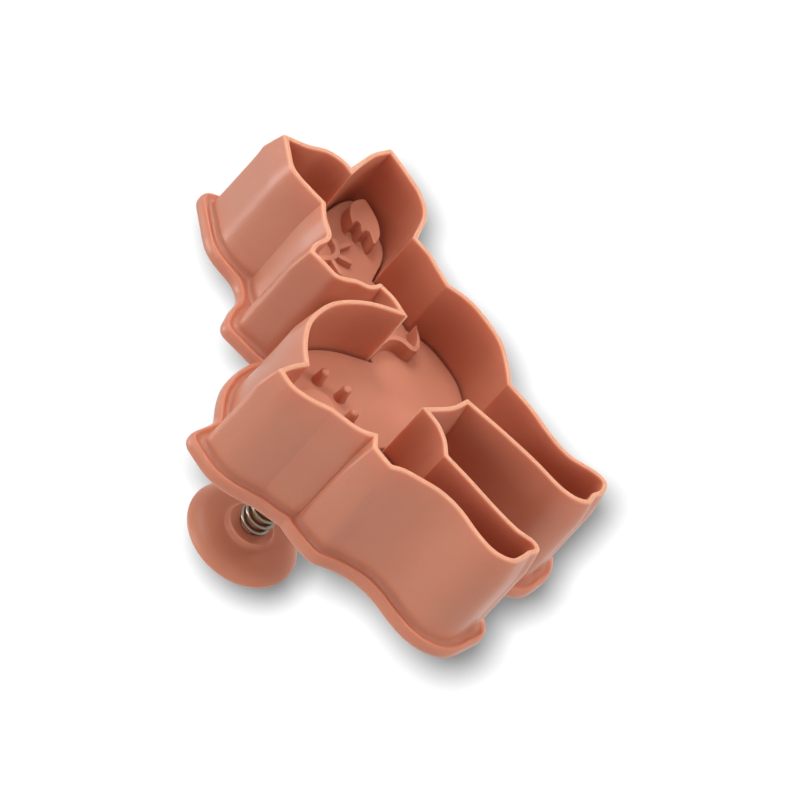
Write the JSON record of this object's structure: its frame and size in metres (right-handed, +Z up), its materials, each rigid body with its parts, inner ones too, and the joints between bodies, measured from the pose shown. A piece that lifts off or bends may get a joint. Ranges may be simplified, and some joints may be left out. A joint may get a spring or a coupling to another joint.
{
  "type": "cookie cutter",
  "caption": "Spring-plunger biscuit cutter shaped as a fawn looking back, with an embossing stamp, a return spring and a mushroom knob.",
  "frame": {"origin": "centre of the bounding box at the cutting edge", "axes": "+Z runs up the plunger from the cutting edge to the knob, and +X from the ears to the hooves"},
  "size_m": [0.0838, 0.0634, 0.0565],
  "materials": {
    "cutter_plastic": "satin salmon",
    "stamp_plastic": "satin salmon",
    "stem_plastic": "satin salmon",
    "knob_plastic": "satin salmon",
    "spring_wire": "bright drawn"
  },
  "bodies": {
    "cutter": {"cutter_body": "cutter_plastic", "return_spring": "spring_wire"},
    "plunger": {"stamp_plate": "stamp_plastic", "plunger_stem": "stem_plastic", "knob": "knob_plastic"}
  },
  "joints": [
    {"name": "plunger_slide", "type": "slide", "parent": "cutter", "child": "plunger", "axis": [0, 0, -1], "range_m": [0, 0.012], "stiffness_N_per_m": 300, "springref_m": -0.005, "deforming": ["return_spring"]}
  ]
}
